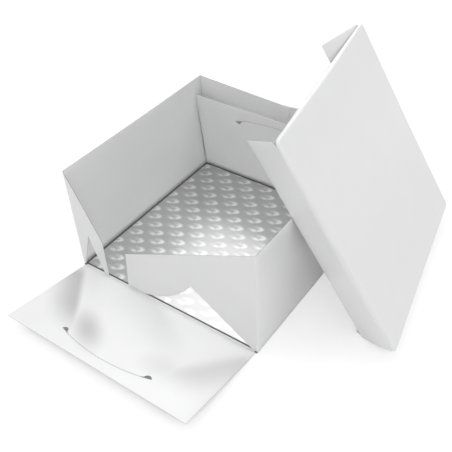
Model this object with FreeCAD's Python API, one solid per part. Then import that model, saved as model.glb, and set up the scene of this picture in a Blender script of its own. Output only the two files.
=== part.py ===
import FreeCAD, Part

import math
import os

from FreeCAD import Vector

# A square carton cake box as it is set out for use: the front panel folded down, the lid leaning on
# the right wall, the foil-covered cake board inside. Millimetres. The origin is the middle of the
# base's underside, +X is to the right, +Y to the back, +Z up, and the front faces -Y.

# Base carton
carton = 0.6                  # thickness of the sheet
box_width = 280.0             # outside, across the side walls
box_depth = 280.0             # outside, front flaps to rear flaps
wall_height = 155.0           # top of the walls above the table
crease_gap = 0.2              # room left at a crease between two panels
seat_gap = 0.4                # room between pieces that rest on or pass along each other

# Front and rear panels, which are twins
panel_drop = 23.0             # how much shorter a panel is than the walls are high
panel_side_gap = 1.6          # to the inner face of each side wall
front_rise = 8.6              # degrees, the lowered front panel above the table
rear_lean = 6.3               # degrees, the rear panel ahead of upright
slit_half_span = 65.0
slit_margin = 24.0            # from the ends of the slit to the panel's free edge
slit_bow = 9.0                # how far the middle of the slit lies beyond its ends
slit_width = 0.9
slit_relief = 11.0            # width of the half-round hole at each end of the slit

# Front flaps
left_flap_length = 46.0       # from the outside of the left wall
flap_opening = 34.0           # between the free ends of the two front flaps
flap_end_height = 61.0        # top corner of a free end above the table
end_slant = 5.0               # how far the right flap's free end leans in at its top
notch_height = 60.0           # peak of both notches above the table
left_notch_root = 4.0         # from the outside of the wall to the notch's foot beside the fold
left_notch_peak = 21.0        # from the outside of the wall to the notch's peak
left_leg_width = 7.5          # flap left standing at the free end
right_notch_root = 6.0
right_notch_peak = 93.0
right_leg_width = 25.0
notch_bow = 10.0              # sag of the right notch's curved side

# Rear flaps
rear_overlap = 12.0           # each rear flap reaches this far past the middle
rear_dip = 7.0                # fall of the top edge from the wall to the middle

# Cake board
board_thickness = 2.0
board_sheet = 0.15            # thickness of the foil and of the backing paper
board_turn_in = 15.0          # width of foil turned under the edge
board_side_gap = 3.4          # to the inner face of each side wall
board_front_gap = 1.8         # to the inner face of the front flaps
board_rear_gap = 3.5          # to the crease of the rear panel

# Lid
lid_clearance = 2.4           # between the lid's rim and the box wall, on each side
rim_depth = 57.5              # from the lid's outer face to a rim's free edge
roll_radius = 0.8             # inside radius of the rolled edge between the lid's face and its rims
near_tilt = 29.5              # degrees that each rim is folded past square
far_tilt = 38.0
top_tilt = 30.0
foot_tilt = 8.0
rim_end_cut = 4.0             # taper of the side rims at their lower ends
tab_length = 28.0
tab_inset = 5.0               # from the sides of a tab to the lid's face and to the rim's free edge
tab_taper = 26.0              # how much a tab's side draws in over its length
tab_lean = 28.0               # degrees that the loose tabs lean away from the side rims
lid_lean = 59.7               # degrees, the lid's face above the table
lid_yaw = 10.3                # degrees, the lid turned about the vertical
lid_setback = 70.0            # the lid's lower near corner behind the front of the box

# Places worked out from the sizes above
half_width = box_width / 2
half_depth = box_depth / 2
fold_start = carton + crease_gap
flap_foot = carton + board_thickness + seat_gap
right_flap_length = box_width - left_flap_length - flap_opening
panel_width = box_width - 2 * (carton + panel_side_gap)
panel_length = wall_height - panel_drop
slit_end = panel_length - slit_margin
front_crease = -half_depth - seat_gap
rear_crease = half_depth - 3 * carton - seat_gap
lid_width = box_width + 2 * (carton + lid_clearance)
lid_depth = box_depth + 2 * (carton + lid_clearance)
lid_edge = roll_radius + carton + crease_gap
rim_length = rim_depth - lid_edge - crease_gap

X = Vector(1, 0, 0)
Y = Vector(0, 1, 0)
Z = Vector(0, 0, 1)
ORIGIN = Vector(0, 0, 0)


def at(x, y, z=0.0):
    return Vector(x, y, z)


def place(shape, origin, along, out):
    """Set a flat-drawn shape in space: its x runs along, its y runs out, its z is their normal."""
    normal = along.cross(out)
    frame = FreeCAD.Matrix(
        along.x, out.x, normal.x, origin.x,
        along.y, out.y, normal.y, origin.y,
        along.z, out.z, normal.z, origin.z,
        0, 0, 0, 1,
    )
    return shape.transformed(frame)


def sheet(points, start=0.0):
    """A flat piece of carton with straight sides, from the height start upwards."""
    corners = [at(x, y, start) for x, y in points]
    outline = Part.makePolygon(corners + corners[:1])
    return Part.Face(outline).extrude(Z * carton)


def block(x0, x1, y0, y1, z0, z1):
    return Part.makeBox(x1 - x0, y1 - y0, z1 - z0, at(x0, y0, z0))


def base_panel():
    return block(-half_width, half_width, front_crease, half_depth, 0, carton)


def side_wall(outer_x):
    inner_x = outer_x - math.copysign(carton, outer_x)
    low_x, high_x = sorted((outer_x, inner_x))
    return block(low_x, high_x, -half_depth, half_depth, carton, wall_height)


def rear_flap(outer_y):
    """The right wall's rear flap; its top edge falls towards the middle."""
    reach = half_width - carton
    height = wall_height - carton
    fall = rear_dip * (reach + rear_overlap) / reach
    flat = sheet([(-rear_overlap, 0), (reach, 0), (reach, height), (-rear_overlap, height - fall)])
    return place(flat, at(0, outer_y, carton), X, Z)


def bowed_slit():
    """Cutter for the bowed slit of a panel, with a half-round hole on the crease side of each end."""
    depth = 3 * carton

    def arc(offset):
        ends = slit_end + offset
        middle = ends + slit_bow
        left = at(-slit_half_span, ends, -carton)
        right = at(slit_half_span, ends, -carton)
        return Part.Arc(left, at(0, middle, -carton), right).toShape()

    low = arc(-slit_width / 2)
    high = arc(slit_width / 2)
    left_end = Part.makeLine(low.firstVertex().Point, high.firstVertex().Point)
    right_end = Part.makeLine(low.lastVertex().Point, high.lastVertex().Point)
    outline = Part.Wire([low, right_end, high, left_end])
    cutter = Part.Face(outline).extrude(Z * depth)
    slope = math.atan2(2 * slit_half_span * slit_bow, slit_half_span ** 2 - slit_bow ** 2)
    for side in (-1, 1):
        centre = at(side * slit_half_span, slit_end, -carton)
        half_round = Part.makeCylinder(slit_relief / 2, depth, centre, Z, 180)
        half_round.rotate(centre, Z, 180 - side * math.degrees(slope))
        cutter = cutter.fuse(half_round)
    return cutter


def folding_panel(start):
    """Front or rear panel drawn flat from its crease at y = 0, with its lower face at start."""
    half = panel_width / 2
    flat = block(-half, half, crease_gap, panel_length, start, start + carton)
    return flat.cut(bowed_slit().translated(Z * start))


def front_panel():
    rise = math.radians(front_rise)
    out = at(0, -math.cos(rise), math.sin(rise))
    return place(folding_panel(0), at(0, front_crease, carton), X, out)


def rear_panel():
    lean = math.radians(rear_lean)
    out = at(0, -math.sin(lean), math.cos(lean))
    return place(folding_panel(-carton), at(0, rear_crease, carton), X, out)


def front_left_flap():
    """Short flap: sloped top, upright free end, pointed notch in its foot."""
    flat = sheet([
        (fold_start, flap_foot),
        (left_notch_root, flap_foot),
        (left_notch_peak, notch_height),
        (left_flap_length - left_leg_width, flap_foot),
        (left_flap_length, flap_foot),
        (left_flap_length, flap_end_height),
        (fold_start, wall_height),
    ])
    return place(flat, at(-half_width, -half_depth + carton), X, Z)


def front_right_flap():
    """Long flap: sloped top, and a notch in its foot with one straight and one bowed side."""
    peak = at(right_notch_peak, notch_height)
    leg = at(right_flap_length - right_leg_width, flap_foot)
    chord = leg - peak
    downwards = at(chord.y, -chord.x) / chord.Length
    bow_middle = (peak + leg) / 2 + downwards * notch_bow
    corners = [
        leg,
        at(right_flap_length, flap_foot),
        at(right_flap_length - end_slant, flap_end_height),
        at(fold_start, wall_height),
        at(fold_start, flap_foot),
        at(right_notch_root, flap_foot),
        peak,
    ]
    edges = [Part.makeLine(a, b) for a, b in zip(corners, corners[1:])]
    edges.append(Part.Arc(peak, bow_middle, leg).toShape())
    flat = Part.Face(Part.Wire(edges)).extrude(Z * carton)
    return place(flat, at(half_width, -half_depth), -X, Z)


def cake_board():
    """Grey core, foil over its top, round its edges and turned under, and the backing paper."""
    half = half_width - carton - board_side_gap
    front = -half_depth + carton + board_front_gap
    rear = rear_crease - board_rear_gap

    def slab(inset, low, high):
        return block(-half + inset, half - inset, front + inset, rear - inset,
                     carton + low, carton + high)

    core = slab(board_sheet, board_sheet, board_thickness - board_sheet)
    backing = slab(board_turn_in, 0, board_sheet)
    foil = slab(0, 0, board_thickness).cut(core).cut(backing)
    return {"board_core": core, "board_foil": foil, "board_backing": backing}


def lid_panel():
    """The lid's face with its rolled edge, outer face down at z = 0, lower near corner at the origin."""
    def pan(inset, top, radius):
        body = block(inset, lid_width - inset, inset, lid_depth - inset, inset, top)
        bottom = [e for e in body.Edges if e.BoundBox.ZMax < inset + radius]
        return body.makeFillet(radius, bottom)

    hollow = pan(carton, 2 * lid_edge, roll_radius)
    return pan(0, lid_edge, roll_radius + carton).cut(hollow)


def lid_crease(x, y):
    """Point of a rim's crease, at the inner corner of the rolled edge."""
    return at(x, y, lid_edge + crease_gap)


def past_square(inward, tilt):
    """Direction of a rim from its crease, folded past square by tilt degrees."""
    angle = math.radians(tilt)
    return inward * math.sin(angle) + Z * math.cos(angle)


def folded(points, crease, along, inward, tilt, inside=False):
    """A sheet drawn from its crease and folded up, lying outside or inside the crease's plane."""
    out = past_square(inward, tilt)
    faces_in = along.cross(out).dot(inward) > 0
    start = 0 if faces_in == inside else -carton
    return place(sheet(points, start), crease, along, out)


def side_rim(y, inward, tilt):
    """Near or far rim: full length, its lower end tapered."""
    points = [(0, 0), (lid_width, 0), (lid_width, rim_length), (rim_end_cut, rim_length)]
    return folded(points, lid_crease(0, y), X, inward, tilt)


def end_rim_points():
    """Outline of the top and foot rims, narrower at the free edge so as to stay inside the side rims."""
    near = carton + seat_gap
    far = lid_depth - carton - seat_gap
    near_taper = rim_length * math.tan(math.radians(near_tilt))
    far_taper = rim_length * math.tan(math.radians(far_tilt))
    return [(near, 0), (far, 0), (far - far_taper, rim_length), (near + near_taper, rim_length)]


def end_rim(x, inward, tilt):
    return folded(end_rim_points(), lid_crease(x, 0), Y, inward, tilt)


def foot_tab(y, inward, tilt):
    """Glue tab of the foot rim, flat on the inside of a side rim."""
    follow = math.cos(math.radians(tilt)) * math.tan(math.radians(foot_tilt))
    root = carton + seat_gap
    low = tab_inset
    high = rim_length - tab_inset
    points = [
        (root + low * follow, low),
        (root + tab_length, low + tab_taper / 2),
        (root + tab_length, high - tab_taper / 2),
        (root + high * follow, high),
    ]
    return folded(points, lid_crease(0, y), X, inward, tilt, inside=True)


def top_tab(rim_corner, free_corner, middle):
    """Loose tab of the top rim: it turns in from the rim's end and leans towards the middle."""
    crease = lid_crease(lid_width - carton, 0)
    depth = past_square(-X, top_tilt)
    start = crease + Y * rim_corner[0] + depth * rim_corner[1]
    end = crease + Y * free_corner[0] + depth * free_corner[1]
    length = (end - start).Length
    along = (end - start) / length
    lean = math.radians(tab_lean)
    root = crease_gap + carton * math.sin(lean)
    wanted = Y.cross(depth) * -math.cos(lean) + middle * math.sin(lean)
    out = (wanted - along * wanted.dot(along)).normalize()
    points = [
        (tab_inset, root),
        (length - tab_inset, root),
        (length - tab_inset - tab_taper / 4, tab_length),
        (tab_inset + tab_taper, tab_length),
    ]
    faces_middle = along.cross(out).dot(middle) > 0
    return place(sheet(points, 0 if faces_middle else -carton), start, along, out)


def flat_lid():
    """All pieces of the lid, drawn with its face down and its lower near corner at the origin."""
    near, far, far_free, near_free = end_rim_points()
    return {
        "lid_panel": lid_panel(),
        "lid_near_rim": side_rim(carton, Y, near_tilt),
        "lid_far_rim": side_rim(lid_depth - carton, -Y, far_tilt),
        "lid_foot_rim": end_rim(carton, X, foot_tilt),
        "lid_top_rim": end_rim(lid_width - carton, -X, top_tilt),
        "lid_foot_tab_near": foot_tab(carton, Y, near_tilt),
        "lid_foot_tab_far": foot_tab(lid_depth - carton, -Y, far_tilt),
        "lid_top_tab_near": top_tab(near, near_free, Y),
        "lid_top_tab_far": top_tab(far, far_free, -Y),
    }


def lid_axes():
    """Directions up the leaning lid's face and along its foot."""
    lean = math.radians(lid_lean)
    turn = FreeCAD.Rotation(Z, lid_yaw)
    up = turn.multVec(at(-math.cos(lean), 0, math.sin(lean)))
    return up, turn.multVec(Y)


def lid_origin(tilted, up, back):
    """Where the lid's lower near corner is when it stands on the table and leans on the right wall.

    The near rim's free edge passes over the wall's outer top edge, with the seat gap between them.
    """
    drop = -min(shape.BoundBox.ZMin for shape in tilted.values())
    depth = past_square(Y, near_tilt)
    inner_edge = lid_crease(0, carton) + depth * rim_length
    outer_edge = inner_edge + X.cross(depth) * carton
    crossings = []
    for edge in (inner_edge, outer_edge):
        foot = up * edge.x + back * edge.y + up.cross(back) * edge.z
        climb = (wall_height + seat_gap - foot.z - drop) / up.z
        crossings.append(foot.x + up.x * climb)
    return at(half_width - min(crossings), -half_depth + lid_setback, drop)


def leaning_lid():
    up, back = lid_axes()
    tilted = {name: place(shape, ORIGIN, up, back) for name, shape in flat_lid().items()}
    origin = lid_origin(tilted, up, back)
    return {name: shape.translated(origin) for name, shape in tilted.items()}


def build():
    nodes = {
        "base_panel": base_panel(),
        "left_wall": side_wall(-half_width),
        "right_wall": side_wall(half_width),
        "rear_left_flap": rear_flap(half_depth - carton).mirror(ORIGIN, X),
        "rear_right_flap": rear_flap(half_depth),
        "rear_panel": rear_panel(),
        "front_panel": front_panel(),
        "front_left_flap": front_left_flap(),
        "front_right_flap": front_right_flap(),
    }
    nodes.update(cake_board())
    nodes.update(leaning_lid())
    return nodes


os.makedirs("parts", exist_ok=True)
for name, shape in build().items():
    shape.exportStep("parts/" + name + ".step")
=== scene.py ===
import math
from collections import namedtuple

import bmesh
import bpy
import numpy as np
from mathutils import Matrix, Vector


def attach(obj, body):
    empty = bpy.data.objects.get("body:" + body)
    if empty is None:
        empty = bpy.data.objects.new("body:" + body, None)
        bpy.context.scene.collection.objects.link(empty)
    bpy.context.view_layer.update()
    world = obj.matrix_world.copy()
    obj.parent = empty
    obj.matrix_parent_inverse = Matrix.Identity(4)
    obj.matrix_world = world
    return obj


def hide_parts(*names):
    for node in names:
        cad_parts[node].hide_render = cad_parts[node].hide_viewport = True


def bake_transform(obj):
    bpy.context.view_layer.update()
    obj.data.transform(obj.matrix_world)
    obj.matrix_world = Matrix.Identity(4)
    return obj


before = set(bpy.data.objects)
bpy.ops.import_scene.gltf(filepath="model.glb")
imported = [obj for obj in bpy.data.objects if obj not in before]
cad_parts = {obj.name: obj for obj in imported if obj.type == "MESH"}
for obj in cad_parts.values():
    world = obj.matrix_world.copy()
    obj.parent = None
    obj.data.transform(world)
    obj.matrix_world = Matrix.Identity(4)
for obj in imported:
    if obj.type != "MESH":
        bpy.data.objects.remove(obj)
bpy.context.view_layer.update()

X, Y, Z = Vector((1, 0, 0)), Vector((0, 1, 0)), Vector((0, 0, 1))

# Sizes in millimetres, as in the CAD source but for small details. Meshes are made in millimetres and then
# scaled.
MM = 0.001
CARTON_THICK = 0.6
CUT_ROUND = 0.13  # rounding of the cut edges
CUT_ANGLE = 1.0  # edges that turn by more radians than this are cut edges
FACE_NORMAL = 0.9  # least upright part of the normal on a sheet's two faces
SHARP_ANGLE = math.radians(40)  # edges that turn by more are shaded as sharp
TOUCH = 1e-3  # points this near are taken to be on a line

# Base carton
HALF = 140.0  # half its width
WALL_TOP = 155.0
WALL_BOW = 0.7  # of the left wall, inwards
WALL_BOW_RISE = (20, 150)  # heights between which the bow grows
FOLD_START = 0.8  # radius of the upright front folds
FLAP_FOOT = 3.0  # height of the flaps' feet
FLAP_END = 61.0  # height of their free ends
NOTCH_TOP = 60.0
NOTCH_BOW = 10.0
LEFT_NOTCH = (4.0, 21.0, 38.5)  # foot, peak and foot of the notch, measured from the corner
LEFT_LENGTH = 46.0
RIGHT_NOTCH = (6.0, 93.0, 175.0)
RIGHT_LENGTH = (200.0, 195.0)  # at the foot and at the top of the free end
PANEL_HALF = 137.8
PANEL_START = 0.2  # distance from the crease
PANEL_LENGTH = 132.0
SLIT_HALF = 65.0
SLIT_RELIEF = 4.8  # radius of the holes at its ends
SLIT_END = 108.0  # distance of its ends from the crease
SLIT_BOW = 9.0
SLIT_WIDTH = 0.45
FRONT_CREASE = -140.4
FRONT_RISE = math.radians(8.6)
REAR_CREASE = 137.8
REAR_LEAN = math.radians(6.3)

# Sag of the lowered front panel, inside a V that opens towards its crease
FRONT_SAG = 0.35
SAG_TIP = 120.0  # distance of the V's tip from the crease
SAG_GROWS = (0, 95)  # distances from the crease
SAG_ENDS = (98, 126)
SAG_EDGE = (-4, 42)  # distances outside the V

# Lid carton
LID = 286.0
LID_LEAN = math.radians(59.7)
LID_YAW = math.radians(10.3)
LID_ORIGIN = Vector((279.2, -70.0, 22.081))
LID_UP = Vector((
    -math.cos(LID_LEAN) * math.cos(LID_YAW),
    -math.cos(LID_LEAN) * math.sin(LID_YAW),
    math.sin(LID_LEAN),
))
LID_BACK = Vector((-math.sin(LID_YAW), math.cos(LID_YAW), 0))
LID_IN = LID_UP.cross(LID_BACK)
TILT = {"near": math.radians(29.5), "far": math.radians(38), "top": math.radians(30), "foot": math.radians(8)}
RIM_LENGTH = 55.7
RIM_CREASE = 1.8  # depth of the creases below the face
RIM_END_CUT = 4.0
SIDE_RIM_START = 6.0  # depth at which the ends of the near and far rims begin
END_RIM_START = 9.0  # the same for the top and foot rims
END_RIM_GAP = 1.0  # between their ends and the other rims
CORNER = 6.0  # radius of the face's corners
FACE_BORDER = 0.6  # strip of the face that belongs to a fold's mesh
FOLD_TIGHT = 2.2  # radius of the folds at the corners
FOLD_SOFT = {"near": 2.6, "top": 1.6, "far": 1.0, "foot": 1.0}  # added to it in the middle of a side

# How finely the meshes are cut: cells in millimetres and numbers of steps
PANEL_CELL = 8.0
FRONT_CELL = 6.0
RIM_CELL = 9.0
SLIT_STEPS = 24
HOLE_STEPS = 12
NOTCH_STEPS = 10
SIDE_STEPS = 28
CORNER_STEPS = 7
ROLL_STEPS = 8
UPRIGHT_STEPS = 8

# Painted shade: grey bands coloured where the lowered front panel's buckle would shade it, in millimetres
# across it (x) and down from its crease (t).
# A band lies beyond a slanting line: side, where it is darkest and where it ends beyond the line, weight.
# A patch is an oval: its middle in x and t, half its length, its turn in degrees, weight.
BAND_SLANT = (0.78, 0.62)
BAND_LINE = 105.5
BAND_EDGE = -4.0
BAND_STARTS = (-2.0, 22.0)
BAND_STOPS = (118.0, 66.0)
BANDS = ((-1, 7.0, 50.0, 0.92), (1, 16.0, 58.0, 0.5))
PATCHES = ((-45.0, 90.0, 52.0, 37, 0.85), (66.0, 86.0, 44.0, 0, 0.3))
PATCH_HALF_WIDTH = 26.0
PAINTED_BUCKLE_GREY = 0.54

# Painted shadow on the strip of the base panel beside the board, and on the foil's edge, in metres
GAP_SIDE = (135.5 * MM, 136.5 * MM)
GAP_REAR = (133.8 * MM, 134.8 * MM)
GAP_LEVEL = (0.2 * MM, 0.4 * MM)
GAP_SHADOW_GREY = 0.12
FOIL_MIDDLE = -1.65 * MM
FOIL_EDGE_SHADOW = (134.7 * MM, 135.5 * MM)

# Discs pressed in the foil, in millimetres and degrees
DISC_COLUMN, DISC_ROW, DISC_SHIFT = 38.5, 13.7, 12.8
DISC_START = (18.0, 0.5)
DISC_LEAN = 35
DISC_RIM = (10.5, 9.0)
RING_PITCH = 1.1
FAN_FADE = (1.5, 0.22)
# Bright fans of a disc, painted highlights where its rings would catch the light, also pressed in by bump:
# place along and beside its bright axis, half length and width, turn, weight
PAINTED_FANS = (
    (-4.6, 0.1, 5.4, 2.8, -32, 0.8),
    (6.0, 3.0, 5.2, 2.9, -47, 0.8),
    (4.8, -1.1, 5.4, 2.5, 4, 0.9),
    (7.2, 0.5, 3.4, 3.4, 0, 1.0),
    (-6.5, 2.4, 7.0, 3.4, -35, 0.3),
    (2.6, 4.6, 8.5, 3.2, -40, 0.34),
)

# Floor, in metres: its own glow gives way where something stands close over it
FLOOR_SIZE = 14
FLOOR_DROP = 0.0004
FLOOR_GREY = 0.95
FLOOR_SEEN_GREY = 0.5
FLOOR_GLOW = 0.6
FLOOR_FAR = (0.6, 1.6)  # distances from the middle between which it turns plain white
COVER_REACH = 0.045
COVER_FADE = (0.0, 0.5)
COVER_SAMPLES = 16

# World: its light on the object and in mirror rays; the latter fades out overhead, where the top lamp is
SKY_LEVEL = 0.01
MIRRORED_LEVEL = 1.0
TOP_CONE = (0.86, 0.7)  # cosines of the angle from straight up

# Lamps: name, place, side length in metres and power in watts
LAMP_TARGET = Vector((0, 0, 0.05))
SOFTBOXES = (
    ("left", (-1.5, -0.7, 1.3), 1.2, 8.5),
    ("right", (1.5, 0.7, 1.3), 1.2, 6.2),
    ("top", (0.0, 0.0, 2.0), 3.2, 44.5),
    ("front", (0.4, -1.6, 0.9), 1.2, 3.9),
    ("back", (-0.5, 1.6, 1.2), 1.2, 5.0),
    ("low", (1.5, -1.1, 0.6), 1.0, 5.0),
)

# Camera, fitted to the box's corners in the photograph
SENSOR = 36
LENS = 54.224
CAMERA_PLACE = (0.424791, -0.559191, 0.631935)
CAMERA_TURN = Matrix((
    (0.816118, -0.348621, 0.460884),
    (0.576249, 0.550917, -0.603678),
    (-0.043454, 0.758257, 0.650506),
))

Station = namedtuple("Station", "spot inward tilt radius side")


def grey(level):
    return (level, level, level, 1)


class Graph:
    """Short calls for building the nodes of a material or of the world."""

    def __init__(self, owner):
        self.owner = owner
        owner.use_nodes = True
        self.tree = owner.node_tree
        self.tree.nodes.clear()

    def add(self, kind, **settings):
        node = self.tree.nodes.new(kind)
        for key, value in settings.items():
            setattr(node, key, value)
        return node

    def feed(self, socket, value):
        if isinstance(value, bpy.types.NodeSocket):
            self.tree.links.new(value, socket)
        else:
            socket.default_value = value

    def split(self, coordinates):
        """The x, y and z of texture coordinates: Object is in metres in the part's frame."""
        node = self.add("ShaderNodeSeparateXYZ")
        self.feed(node.inputs[0], self.add("ShaderNodeTexCoord").outputs[coordinates])
        return node.outputs

    def math(self, operation, a, b=0.0, c=0.0):
        node = self.add("ShaderNodeMath", operation=operation)
        for socket, value in zip(node.inputs, (a, b, c)):
            self.feed(socket, value)
        return node.outputs[0]

    def largest(self, values):
        result = values[0]
        for value in values[1:]:
            result = self.math("MAXIMUM", result, value)
        return result

    def length(self, a, b):
        return self.math("SQRT", self.math("MULTIPLY_ADD", a, a, self.math("MULTIPLY", b, b)))

    def rotate(self, a, b, angle):
        """The point (a, b) measured on axes turned by an angle in degrees."""
        cos, sin = math.cos(math.radians(angle)), math.sin(math.radians(angle))
        along = self.math("MULTIPLY_ADD", a, cos, self.math("MULTIPLY", b, sin))
        aside = self.math("MULTIPLY_ADD", a, -sin, self.math("MULTIPLY", b, cos))
        return along, aside

    def oval(self, a, b, length, width, angle):
        """How far out the point (a, b) lies in a turned oval round the origin: 1 on the oval's edge."""
        along, aside = self.rotate(a, b, angle)
        return self.length(self.math("DIVIDE", along, length), self.math("DIVIDE", aside, width))

    def mix(self, factor, a, b):
        node = self.add("ShaderNodeMix", data_type="RGBA")
        self.feed(node.inputs["Factor"], factor)
        self.feed(node.inputs[6], a)
        self.feed(node.inputs[7], b)
        return node.outputs[2]

    def ramp(self, value, stops):
        """Grey ramp between two stops, each a position and a grey."""
        node = self.add("ShaderNodeValToRGB")
        for element, (position, level) in zip(node.color_ramp.elements, stops):
            element.position = position
            element.color = grey(level)
        self.feed(node.inputs[0], value)
        return node.outputs[0]

    def fade(self, value, low, high):
        """Smooth step from 0 at low to 1 at high; high may be the smaller one."""
        node = self.add("ShaderNodeMapRange", interpolation_type="SMOOTHSTEP")
        self.feed(node.inputs["Value"], value)
        node.inputs["From Min"].default_value = min(low, high)
        node.inputs["From Max"].default_value = max(low, high)
        node.inputs["To Min"].default_value = 0.0 if low < high else 1.0
        node.inputs["To Max"].default_value = 1.0 if low < high else 0.0
        return node.outputs[0]

    def noise(self, scale, detail, roughness=0.5, stretch=None):
        place = self.add("ShaderNodeTexCoord").outputs["Object"]
        if stretch:
            mapping = self.add("ShaderNodeMapping")
            mapping.inputs["Scale"].default_value = stretch
            self.feed(mapping.inputs["Vector"], place)
            place = mapping.outputs[0]
        node = self.add("ShaderNodeTexNoise")
        self.feed(node.inputs["Vector"], place)
        node.inputs["Scale"].default_value = scale
        node.inputs["Detail"].default_value = detail
        node.inputs["Roughness"].default_value = roughness
        return node.outputs["Fac"]

    def bump(self, height, distance, strength, below=None):
        node = self.add("ShaderNodeBump")
        node.inputs["Strength"].default_value = strength
        node.inputs["Distance"].default_value = distance
        self.feed(node.inputs["Height"], height)
        if below:
            self.feed(node.inputs["Normal"], below)
        return node.outputs[0]

    def diffuse(self, level):
        node = self.add("ShaderNodeBsdfDiffuse")
        node.inputs["Color"].default_value = grey(level)
        return node.outputs[0]

    def surface(self, **inputs):
        shader = self.add("ShaderNodeBsdfPrincipled")
        for key, value in inputs.items():
            self.feed(shader.inputs[key.replace("_", " ")], value)
        out = self.add("ShaderNodeOutputMaterial")
        self.feed(out.inputs[0], shader.outputs[0])
        return self.owner


def coated_carton(name, shade=None, shaded=None):
    """White clay-coated face: nearly even, with faint cloudiness, fine fibre relief and a satin gloss.

    shade(g) may give a mask of painted shade, where the face is coloured darker, and shaded is its grey
    there.
    """
    g = Graph(bpy.data.materials.new(name))
    cloud = g.noise(26, detail=3)
    fibre = g.noise(900, detail=4, roughness=0.6, stretch=(1, 1, 0.55))
    ripple = g.noise(11, detail=1)
    colour = g.mix(cloud, (0.885, 0.888, 0.887, 1), (0.915, 0.918, 0.917, 1))
    if shade:
        colour = g.mix(shade(g), colour, grey(shaded))
    rough = g.ramp(fibre, ((0.3, 0.27), (0.7, 0.36)))
    soft = g.bump(ripple, distance=0.004, strength=0.25)
    relief = g.bump(fibre, distance=0.00006, strength=0.35, below=soft)
    return g.surface(Base_Color=colour, Roughness=rough, Normal=relief, Coat_Weight=0.35, Coat_Roughness=0.16)


def painted_buckle_shade(g):
    """Mask of painted shade: soft grey bands where the lowered front panel's buckle would shade it, from its
    crease towards the slit.
    """
    place = g.split("Object")
    slope = math.cos(FRONT_RISE)
    x = g.math("MULTIPLY", place[0], 1 / MM)
    t = g.math("MULTIPLY_ADD", place[1], -1 / MM / slope, FRONT_CREASE / slope)
    reach = g.math("MULTIPLY", g.fade(t, *BAND_STARTS), g.fade(t, *BAND_STOPS))
    shades = []
    for side, darkest, end, weight in BANDS:
        outwards = g.math("MULTIPLY_ADD", x, BAND_SLANT[0] * side, -BAND_LINE)
        beyond = g.math("MULTIPLY_ADD", t, BAND_SLANT[1], outwards)
        band = g.math("MULTIPLY", g.fade(beyond, BAND_EDGE, darkest), g.fade(beyond, end, darkest))
        shades.append(g.math("MULTIPLY", g.math("MULTIPLY", band, reach), weight))
    for middle, below, length, turn, weight in PATCHES:
        aside = g.math("SUBTRACT", x, middle)
        down = g.math("SUBTRACT", t, below)
        far = g.oval(aside, down, length, PATCH_HALF_WIDTH, turn)
        shades.append(g.math("MULTIPLY", g.fade(far, 1.0, 0.0), weight))
    return g.largest(shades)


def painted_gap_shadow(g):
    """Mask of painted shadow on the narrow strip of the base panel that lies open between the board and the
    walls.
    """
    place = g.split("Object")
    side = g.fade(g.math("ABSOLUTE", place[0]), *GAP_SIDE)
    rear = g.fade(place[1], *GAP_REAR)
    inside = g.fade(place[2], *GAP_LEVEL)
    return g.math("MULTIPLY", g.math("MAXIMUM", side, rear), inside)


def cut_carton():
    """Raw cut edge of the carton: uncoated fibre, somewhat greyer than the coated face, and coloured darker
    still as painted shade for the thin dark outlines along the sheets' edges.
    """
    g = Graph(bpy.data.materials.new("cut_carton"))
    fibre = g.noise(1500, detail=5, roughness=0.7)
    colour = g.mix(fibre, (0.27, 0.268, 0.262, 1), (0.40, 0.398, 0.39, 1))
    relief = g.bump(fibre, distance=0.00012, strength=0.6)
    return g.surface(Base_Color=colour, Roughness=0.85, Normal=relief)


def grey_board():
    g = Graph(bpy.data.materials.new("grey_board"))
    fibre = g.noise(700, detail=5, roughness=0.7)
    speck = g.noise(2600, detail=2)
    colour = g.mix(fibre, (0.30, 0.285, 0.26, 1), (0.50, 0.48, 0.45, 1))
    relief = g.bump(speck, distance=0.0001, strength=0.5)
    return g.surface(Base_Color=colour, Roughness=0.9, Normal=relief)


def backing_paper():
    g = Graph(bpy.data.materials.new("backing_paper"))
    fibre = g.noise(1100, detail=4, roughness=0.6)
    colour = g.mix(fibre, (0.76, 0.76, 0.74, 1), (0.84, 0.84, 0.82, 1))
    relief = g.bump(fibre, distance=0.00005, strength=0.5)
    return g.surface(Base_Color=colour, Roughness=0.7, Normal=relief)


def nearest_disc(g, x, y):
    """Where a point in millimetres lies from the middle of the nearest disc: aside, down and straight."""
    upper = g.math("FLOOR", g.math("DIVIDE", y, -DISC_ROW))
    across = down = away = None
    for step in (-1, 0, 1, 2):
        line = g.math("ADD", upper, float(step))
        dy = g.math("MULTIPLY_ADD", line, DISC_ROW, y)
        start = g.math("MULTIPLY", line, DISC_SHIFT)
        cell = g.math("ROUND", g.math("DIVIDE", g.math("SUBTRACT", x, start), DISC_COLUMN))
        dx = g.math("SUBTRACT", x, g.math("MULTIPLY_ADD", cell, DISC_COLUMN, start))
        far = g.length(dx, dy)
        if away is None:
            across, down, away = dx, dy, far
        else:
            nearer = g.math("LESS_THAN", far, away)
            across = g.math("MULTIPLY_ADD", nearer, g.math("SUBTRACT", dx, across), across)
            down = g.math("MULTIPLY_ADD", nearer, g.math("SUBTRACT", dy, down), down)
            away = g.math("MINIMUM", away, far)
    return across, down, away


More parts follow.
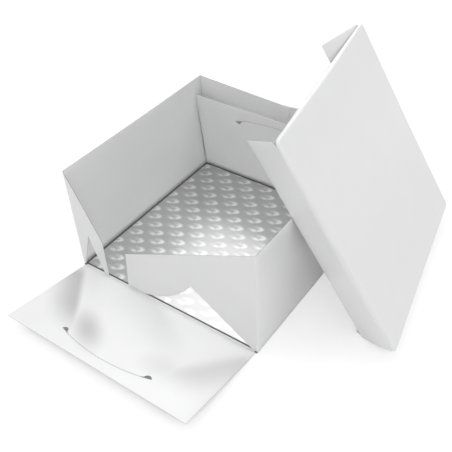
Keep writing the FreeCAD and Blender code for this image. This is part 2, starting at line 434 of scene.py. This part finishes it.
def turned_foil():
    """Silver foil pressed with rows of turned discs, each ruled with fine rings, with two bright fans as
    painted highlights that are also pressed in by bump, and a painted shadow line at its edge.
    """
    g = Graph(bpy.data.materials.new("turned_foil"))
    place = g.split("Object")
    x = g.math("MULTIPLY_ADD", place[0], 1 / MM, DISC_START[0])
    y = g.math("MULTIPLY_ADD", place[1], 1 / MM, DISC_START[1])
    across, down, away = nearest_disc(g, x, y)
    u, v = g.rotate(across, down, DISC_LEAN)
    painted_fans = []
    for along, aside, length, width, turn, weight in PAINTED_FANS:
        far = g.oval(g.math("SUBTRACT", u, along), g.math("SUBTRACT", v, aside), length, width, turn)
        painted_fans.append(g.math("MULTIPLY", g.fade(far, *FAN_FADE), weight))
    painted_fan = g.largest(painted_fans)
    disc = g.fade(away, *DISC_RIM)
    groove = g.math("MULTIPLY", g.math("SINE", g.math("MULTIPLY", away, 2 * math.pi / RING_PITCH)), disc)
    mottle = g.noise(60, detail=3)
    plain = g.mix(mottle, (0.54, 0.54, 0.545, 1), (0.61, 0.61, 0.615, 1))
    # Painted highlight: the fans are coloured near white.
    lit = g.mix(painted_fan, plain, grey(0.96))
    # Painted shadow: a dark line along the foil's edge, where the gap beside the board is in shade.
    middle = g.math("ADD", place[1], -FOIL_MIDDLE)
    out = g.math("MAXIMUM", g.math("ABSOLUTE", place[0]), g.math("ABSOLUTE", middle))
    colour = g.mix(g.fade(out, *FOIL_EDGE_SHADOW), lit, (0.13, 0.13, 0.135, 1))
    rough = g.ramp(painted_fan, ((0.0, 0.34), (1.0, 0.5)))
    ruled = g.bump(groove, distance=0.00003, strength=0.3)
    pressed = g.bump(painted_fan, distance=0.00025, strength=0.6, below=ruled)
    return g.surface(Base_Color=colour, Metallic=1.0, Roughness=rough, Normal=pressed)


FACE = coated_carton("coated_carton")
# The front panel's upper face, coloured with the painted buckle shade.
BUCKLE_SHADE_PAINTED = coated_carton("painted_buckle_shade_carton", painted_buckle_shade, PAINTED_BUCKLE_GREY)
# The base panel, coloured with a painted shadow in the gap beside the board.
GAP_SHADOW_PAINTED = coated_carton("gap_shadow_carton", painted_gap_shadow, GAP_SHADOW_GREY)
CUT = cut_carton()
FOIL = turned_foil()
BOARD = grey_board()
BACKING = backing_paper()


def paint_cad():
    """Materials for the CAD nodes; those that a piece replaces aren't shown."""
    special = {"board_core": BOARD, "board_backing": BACKING, "board_foil": FOIL, "base_panel": GAP_SHADOW_PAINTED}
    for name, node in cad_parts.items():
        node.data.materials.clear()
        node.data.materials.append(special.get(name, FACE))


def flat_sheet(outlines, cell):
    """A flat sheet of carton in a bmesh: closed outlines (the first is the outside), cut into cells."""
    bm = bmesh.new()
    edges = []
    for outline in outlines:
        corners = [bm.verts.new((x, y, 0)) for x, y in outline]
        edges += [bm.edges.new((a, b)) for a, b in zip(corners, corners[1:] + corners[:1])]
    bmesh.ops.triangle_fill(bm, edges=edges, use_beauty=True, use_dissolve=False)
    flat = np.array(outlines[0])
    for axis, normal in ((0, X), (1, Y)):
        low, high = flat[:, axis].min(), flat[:, axis].max()
        count = max(1, round((high - low) / cell))
        for k in range(1, count):
            geometry = bm.verts[:] + bm.edges[:] + bm.faces[:]
            bmesh.ops.bisect_plane(bm, geom=geometry, plane_co=normal * (low + (high - low) * k / count),
                                   plane_no=normal, dist=1e-4)
    bmesh.ops.recalc_face_normals(bm, faces=bm.faces[:])
    if bm.faces[:][0].normal.z < 0:
        bmesh.ops.reverse_faces(bm, faces=bm.faces[:])
    return bm


def face_outwards(bm):
    bmesh.ops.recalc_face_normals(bm, faces=bm.faces[:])
    if bm.calc_volume(signed=True) < 0:
        bmesh.ops.reverse_faces(bm, faces=bm.faces[:])


def thicken(bm, joined=None):
    """Give the flat sheet its thickness, upwards from z = 0, and round its cut edges a little.

    Edges for which joined(x, y) holds at both ends meet another sheet and stay square.
    """
    lower = bm.faces[:]
    made = bmesh.ops.extrude_face_region(bm, geom=lower, use_keep_orig=True)["geom"]
    for vertex in (g for g in made if isinstance(g, bmesh.types.BMVert)):
        vertex.co.z = CARTON_THICK
    face_outwards(bm)
    sharp = [e for e in bm.edges if len(e.link_faces) == 2 and e.calc_face_angle(0) > CUT_ANGLE]
    flat = [e for e in sharp if abs(e.verts[0].co.z - e.verts[1].co.z) < 1e-6]
    if joined:
        flat = [e for e in flat if not all(joined(v.co.x, v.co.y) for v in e.verts)]
    bmesh.ops.bevel(bm, geom=flat, offset=CUT_ROUND, segments=2, affect="EDGES", profile=0.5)
    for face in bm.faces:
        face.material_index = 0 if abs(face.normal.z) > FACE_NORMAL else 1
        face.smooth = True


def carton_object(name, bm):
    """Make an object of a bmesh in metres, with the carton's face and cut edge as materials."""
    face_outwards(bm)
    mesh = bpy.data.meshes.new(name)
    bm.to_mesh(mesh)
    bm.free()
    mesh.set_sharp_from_angle(angle=SHARP_ANGLE)
    mesh.materials.append(FACE)
    mesh.materials.append(CUT)
    obj = bpy.data.objects.new(name, mesh)
    bpy.context.scene.collection.objects.link(obj)
    return obj


def piece(name, bm, body, shape):
    """Finish a sheet: shape maps flat points to the part's frame, then it rides and replaces its node."""
    for vertex in bm.verts:
        vertex.co = shape(*vertex.co) * MM
    obj = carton_object(name, bm)
    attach(obj, body)
    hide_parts(name)
    return obj


def fold_piece(name, bm):
    """A fold between two bodies.

    bm is in millimetres in the part's frame.
    """
    for vertex in bm.verts:
        vertex.co *= MM
    obj = carton_object(name, bm)
    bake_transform(obj)


def carton(name, body, outlines, origin, along, out, start=0.0, bend=None, cell=PANEL_CELL):
    """A carton panel drawn flat and set in space; bend(x, y) moves it along its normal, in millimetres."""
    bm = flat_sheet(outlines, cell)
    thicken(bm)
    normal = along.cross(out)

    def shape(x, y, z):
        lift = start + z + (bend(x, y) if bend else 0.0)
        return origin + along * x + out * y + normal * lift

    return piece(name, bm, body, shape)


def smooth(low, high, value):
    t = min(1.0, max(0.0, (value - low) / (high - low)))
    return t * t * (3 - 2 * t)


def slit_outline():
    """Bowed slit with a half-round hole on the crease side of each end, as one closed line."""
    def bow(x):
        return SLIT_END + SLIT_BOW * (1 - (x / SLIT_HALF) ** 2)

    slope = math.atan2(2 * SLIT_BOW, SLIT_HALF)
    reach = SLIT_HALF - SLIT_RELIEF * math.cos(slope)
    xs = [-reach + 2 * reach * k / SLIT_STEPS for k in range(SLIT_STEPS + 1)]
    upper = [(x, bow(x) + SLIT_WIDTH / 2) for x in xs]
    lower = [(x, bow(x) - SLIT_WIDTH / 2) for x in reversed(xs)]
    turns = [math.radians(180 + 180 * k / HOLE_STEPS) for k in range(HOLE_STEPS + 1)]
    hole = [(SLIT_RELIEF * math.cos(a), SLIT_RELIEF * math.sin(a)) for a in turns]
    left = [(-SLIT_HALF + x * math.cos(slope) - y * math.sin(slope),
             SLIT_END + x * math.sin(slope) + y * math.cos(slope)) for x, y in hole]
    right = [(-x, y) for x, y in reversed(left)]
    return upper + list(reversed(right))[:-1] + lower[1:-1] + list(reversed(left))[1:]


def panel_outlines():
    outside = [
        (-PANEL_HALF, PANEL_START), (PANEL_HALF, PANEL_START),
        (PANEL_HALF, PANEL_LENGTH), (-PANEL_HALF, PANEL_LENGTH),
    ]
    return [outside, slit_outline()]


def front_sag(x, y):
    """How far the lowered panel sags inside a wide V from its crease towards the slit."""
    outside = abs(x) - PANEL_HALF * (1 - y / SAG_TIP)
    depth = FRONT_SAG * smooth(*SAG_GROWS, y) * (1 - smooth(*SAG_ENDS, y))
    return depth * (1 - smooth(*SAG_EDGE, outside))


def walls():
    def bow(x, y):
        return WALL_BOW * smooth(*WALL_BOW_RISE, y) * math.cos(math.pi * x / (2 * HALF))

    front, rear = -HALF + FOLD_START, HALF
    side = [(front, CARTON_THICK), (rear, CARTON_THICK), (rear, WALL_TOP), (front, WALL_TOP)]
    carton("left_wall", "base", [side], Vector((-HALF, 0, 0)), Y, Z, bend=bow)
    mirrored = [(-x, z) for x, z in reversed(side)]
    carton("right_wall", "base", [mirrored], Vector((HALF, 0, 0)), -Y, Z)


def panels():
    out = Vector((0, -math.cos(FRONT_RISE), math.sin(FRONT_RISE)))
    front = carton("front_panel", "front_panel", panel_outlines(), Vector((0, FRONT_CREASE, CARTON_THICK)),
                   X, out, bend=front_sag, cell=FRONT_CELL)
    # The upper face takes the carton with painted buckle shade; the lower face stays plain.
    shade_index = len(front.data.materials)
    front.data.materials.append(BUCKLE_SHADE_PAINTED)
    for face in front.data.polygons:
        if face.material_index == 0 and face.normal.z > 0:
            face.material_index = shade_index
    out = Vector((0, -math.sin(REAR_LEAN), math.cos(REAR_LEAN)))
    carton("rear_panel", "rear_panel", panel_outlines(), Vector((0, REAR_CREASE, CARTON_THICK)), X, out,
           start=-CARTON_THICK)


def flaps():
    """The front flaps: the left one with a pointed notch, the right one with a bowed notch."""
    first, peak, last = LEFT_NOTCH
    left = [
        (FOLD_START, FLAP_FOOT), (first, FLAP_FOOT), (peak, NOTCH_TOP), (last, FLAP_FOOT),
        (LEFT_LENGTH, FLAP_FOOT), (LEFT_LENGTH, FLAP_END), (FOLD_START, WALL_TOP),
    ]
    carton("front_left_flap", "front_left_flap", [left], Vector((-HALF, -HALF + CARTON_THICK, 0)), X, Z)
    first, peak, last = RIGHT_NOTCH
    top = np.array((peak, NOTCH_TOP))
    chord = np.array((last, FLAP_FOOT)) - top
    sag = np.array((chord[1], -chord[0])) / np.linalg.norm(chord) * NOTCH_BOW
    steps = [k / NOTCH_STEPS for k in range(NOTCH_STEPS + 1)]
    right = [tuple(top + chord * s + sag * 4 * s * (1 - s)) for s in steps]
    right += [
        (RIGHT_LENGTH[0], FLAP_FOOT), (RIGHT_LENGTH[1], FLAP_END), (FOLD_START, WALL_TOP),
        (FOLD_START, FLAP_FOOT), (first, FLAP_FOOT),
    ]
    carton("front_right_flap", "front_right_flap", [right], Vector((HALF, -HALF, 0)), -X, Z)


def corner_folds():
    """The rounded upright folds between the side walls and the front flaps."""
    centre = HALF - FOLD_START
    for side, name in ((-1, "front_left"), (1, "front_right")):
        bm = bmesh.new()
        rings = []
        for k in range(UPRIGHT_STEPS + 1):
            turn = math.pi / 2 * k / UPRIGHT_STEPS
            spokes = []
            for radius in (FOLD_START, FOLD_START - CARTON_THICK):
                x = side * (centre + radius * math.cos(turn))
                y = -centre - radius * math.sin(turn)
                spokes += [bm.verts.new((x, y, FLAP_FOOT)), bm.verts.new((x, y, WALL_TOP))]
            rings.append([spokes[0], spokes[1], spokes[3], spokes[2]])
        for a, b in zip(rings, rings[1:]):
            for i in range(4):
                bm.faces.new((a[i], a[(i + 1) % 4], b[(i + 1) % 4], b[i])).smooth = True
        bm.faces.new(rings[0])
        bm.faces.new(rings[-1])
        fold_piece(name + "_fold", bm)


def lid_point(u, v, w):
    return LID_ORIGIN + LID_UP * u + LID_BACK * v + LID_IN * w


def fold_section(tilt, radius):
    """Rolled fold between the lid's face and a rim, seen in section from the rim's outer edge inwards.

    Gives the distance of the roll's centre from the edge, and how far down the rim the roll ends.
    """
    slope, rise = math.cos(tilt), math.sin(tilt)
    root = Vector((CARTON_THICK * (1 - slope), RIM_CREASE + CARTON_THICK * rise))
    line = rise * root.y - slope * root.x
    centre = (radius * (1 + rise) - line) / slope
    end = Vector((centre - radius * slope, radius + radius * rise))
    return centre, (end - root).dot(Vector((rise, slope)))


def fold_radius(side, s):
    """Outer radius of a fold at the fraction s of its length: soft in the middle, tighter at the corners."""
    return FOLD_TIGHT + FOLD_SOFT[side] * math.sin(math.pi * s)


def fold_profile(tilt, radius):
    """Section of the face's border and the fold, as (inwards, depth): outer points, then inner points."""
    centre, _ = fold_section(tilt, radius)
    turns = [k / ROLL_STEPS * (math.pi / 2 + tilt) for k in range(ROLL_STEPS + 1)]
    outer = [(centre + FACE_BORDER, 0)]
    outer += [(centre - radius * math.sin(a), radius - radius * math.cos(a)) for a in turns]
    small = radius - CARTON_THICK
    inner = [(centre - small * math.sin(a), radius - small * math.cos(a)) for a in reversed(turns)]
    inner += [(centre + FACE_BORDER, CARTON_THICK)]
    return outer + inner


def lid_stations():
    """Places round the lid's edge; side is None at a corner."""
    corners = [(0, 0), (LID, 0), (LID, LID), (0, LID)]
    sides = ["near", "top", "far", "foot"]
    inwards = [(0, 1), (-1, 0), (0, -1), (1, 0)]
    stations = []
    for k, side in enumerate(sides):
        start, stop = Vector(corners[k]), Vector(corners[(k + 1) % 4])
        along = (stop - start).normalized()
        inward = Vector(inwards[k])
        for i in range(SIDE_STEPS + 1):
            s = i / SIDE_STEPS
            spot = start + along * (CORNER + (LID - 2 * CORNER) * s)
            stations.append(Station(spot, inward, TILT[side], fold_radius(side, s), side))
        after = Vector(inwards[(k + 1) % 4])
        centre = stop - along * CORNER + inward * CORNER
        for i in range(1, CORNER_STEPS):
            t = i / CORNER_STEPS
            turned = inward * math.cos(t * math.pi / 2) + after * math.sin(t * math.pi / 2)
            tilt = TILT[side] * (1 - t) + TILT[sides[(k + 1) % 4]] * t
            stations.append(Station(centre - turned * CORNER, turned, tilt, fold_radius(side, 0), None))
    return stations


def lid_face():
    """The lid's face with the soft folds of its near, far and foot sides and its blunt corners.

    Gives the bmesh of the top side's fold, which is made a piece of its own.
    """
    stations = lid_stations()
    face, fold = bmesh.new(), bmesh.new()
    rings = []
    for at in stations:
        points = [(*(at.spot + at.inward * e), depth) for e, depth in fold_profile(at.tilt, at.radius)]
        rings.append(([face.verts.new(q) for q in points], [fold.verts.new(q) for q in points]))
    count = len(rings[0][0])
    first, last = 1, count - 2  # the fold's first outer and last inner point, next to the face's border
    for k, (ring, spare) in enumerate(rings):
        after, spare_after = rings[(k + 1) % len(rings)]
        loose = stations[k].side == stations[(k + 1) % len(stations)].side == "top"
        for i in range(count - 1):
            a, b, bm = (spare, spare_after, fold) if loose and first <= i < last else (ring, after, face)
            bm.faces.new((a[i], b[i], b[i + 1], a[i + 1])).material_index = int(i == count // 2 - 1)
        if loose:
            face.faces.new((ring[first], after[first], after[last], ring[last])).material_index = 1
            fold.faces.new((spare[first], spare_after[first], spare_after[last], spare[last]))
    tops = [k for k, station in enumerate(stations) if station.side == "top"]
    for k in (tops[0], tops[-1]):
        for bm, ring in zip((face, fold), rings[k]):
            bm.faces.new(ring[1:-1]).material_index = 1
    face.faces.new([ring[0] for ring, _ in rings])
    face.faces.new([ring[-1] for ring, _ in reversed(rings)])
    for bm in (face, fold):
        bmesh.ops.delete(bm, geom=[v for v in bm.verts if not v.link_faces], context="VERTS")
        for polygon in bm.faces:
            polygon.smooth = True
    piece("lid_panel", face, "lid", lid_point)
    return fold


def lid_top_fold(bm):
    """The top side's fold, between the lid's face and the top rim."""
    for vertex in bm.verts:
        vertex.co = lid_point(*vertex.co)
    fold_piece("lid_top_fold", bm)


def lid_rims():
    """The four rims, each from the end of its fold to its free edge."""
    near_in, far_in = math.tan(TILT["near"]), math.tan(TILT["far"])
    for side, edge, inward in (("near", 0, 1), ("far", LID, -1), ("top", LID, -1), ("foot", 0, 1)):
        rise, slope = math.sin(TILT[side]), math.cos(TILT[side])
        lengthways = side in ("near", "far")
        outline = []
        for k in range(SIDE_STEPS + 1):
            s = k / SIDE_STEPS
            fold_end = fold_section(TILT[side], fold_radius(side, s))[1]
            outline.append((CORNER + (LID - 2 * CORNER) * s, fold_end))
        deepest = max(depth for _, depth in outline)
        if lengthways:
            outline += [(LID, SIDE_RIM_START), (LID, RIM_LENGTH)]
            outline += [(RIM_END_CUT, RIM_LENGTH), (0, SIDE_RIM_START)]
        else:
            outline += [(LID - END_RIM_GAP - d * far_in, d) for d in (END_RIM_START, RIM_LENGTH)]
            outline += [(END_RIM_GAP + d * near_in, d) for d in (RIM_LENGTH, END_RIM_START)]

        def shape(a, depth, z):
            across = edge + inward * (CARTON_THICK * (1 - slope) + depth * rise + z * slope)
            w = RIM_CREASE + CARTON_THICK * rise + depth * slope - z * rise
            return lid_point(a, across, w) if lengthways else lid_point(across, a, w)

        bm = flat_sheet([outline], RIM_CELL)
        thicken(bm, lambda x, y: y < deepest + TOUCH)
        piece("lid_" + side + "_rim", bm, "lid_top_rim" if side == "top" else "lid", shape)


def floor():
    """White floor that keeps the object's shadow."""
    bpy.ops.mesh.primitive_plane_add(size=FLOOR_SIZE, location=(0, 0, -FLOOR_DROP))
    plane = bpy.context.object
    plane.name = "floor"
    g = Graph(bpy.data.materials.new("floor"))
    place = g.split("Object")
    cover = g.add("ShaderNodeAmbientOcclusion", samples=COVER_SAMPLES)
    cover.inputs["Distance"].default_value = COVER_REACH
    near = g.math("MULTIPLY", g.fade(cover.outputs["AO"], *COVER_FADE), FLOOR_GLOW)
    far = g.fade(g.length(place[0], place[1]), *FLOOR_FAR)
    glow = g.add("ShaderNodeEmission")
    g.feed(glow.inputs["Strength"], g.math("MULTIPLY_ADD", far, 1.0 - FLOOR_GLOW, near))
    shown = g.add("ShaderNodeAddShader")
    g.feed(shown.inputs[0], glow.outputs[0])
    g.feed(shown.inputs[1], g.diffuse(FLOOR_SEEN_GREY))
    path = g.add("ShaderNodeLightPath").outputs
    choose = g.add("ShaderNodeMixShader")
    g.feed(choose.inputs[0], g.math("MAXIMUM", path["Is Camera Ray"], path["Is Glossy Ray"]))
    g.feed(choose.inputs[1], g.diffuse(FLOOR_GREY))
    g.feed(choose.inputs[2], shown.outputs[0])
    g.feed(g.add("ShaderNodeOutputMaterial").inputs[0], choose.outputs[0])
    plane.data.materials.append(g.owner)


def camera():
    data = bpy.data.cameras.new("camera")
    data.sensor_width = SENSOR
    data.lens = LENS
    cam = bpy.data.objects.new("camera", data)
    cam.matrix_world = Matrix.Translation(CAMERA_PLACE) @ CAMERA_TURN.to_4x4()
    bpy.context.scene.collection.objects.link(cam)
    bpy.context.scene.camera = cam


def softbox(name, place, size, power):
    data = bpy.data.lights.new(name, "AREA")
    data.shape = "SQUARE"
    data.size = size
    data.energy = power
    lamp = bpy.data.objects.new(name, data)
    lamp.location = place
    lamp.rotation_mode = "QUATERNION"
    lamp.rotation_quaternion = (LAMP_TARGET - Vector(place)).to_track_quat("-Z", "Y")
    bpy.context.scene.collection.objects.link(lamp)


def light():
    """White world for camera and mirror rays, and soft lamps round the object."""
    world = bpy.data.worlds.new("studio")
    bpy.context.scene.world = world
    g = Graph(world)
    path = g.add("ShaderNodeLightPath").outputs
    mirrored = g.math("MULTIPLY", g.fade(g.split("Generated")[2], *TOP_CONE), MIRRORED_LEVEL)
    level = g.math("MULTIPLY_ADD", mirrored, path["Is Glossy Ray"], SKY_LEVEL)
    back = g.add("ShaderNodeBackground")
    back.inputs[0].default_value = grey(1)
    g.feed(back.inputs[1], g.math("MAXIMUM", level, path["Is Camera Ray"]))
    g.feed(g.add("ShaderNodeOutputWorld").inputs[0], back.outputs[0])
    for lamp in SOFTBOXES:
        softbox(*lamp)


paint_cad()
walls()
panels()
flaps()
corner_folds()
lid_top_fold(lid_face())
lid_rims()
floor()
camera()
light()
bpy.context.scene.view_settings.view_transform = "Standard"
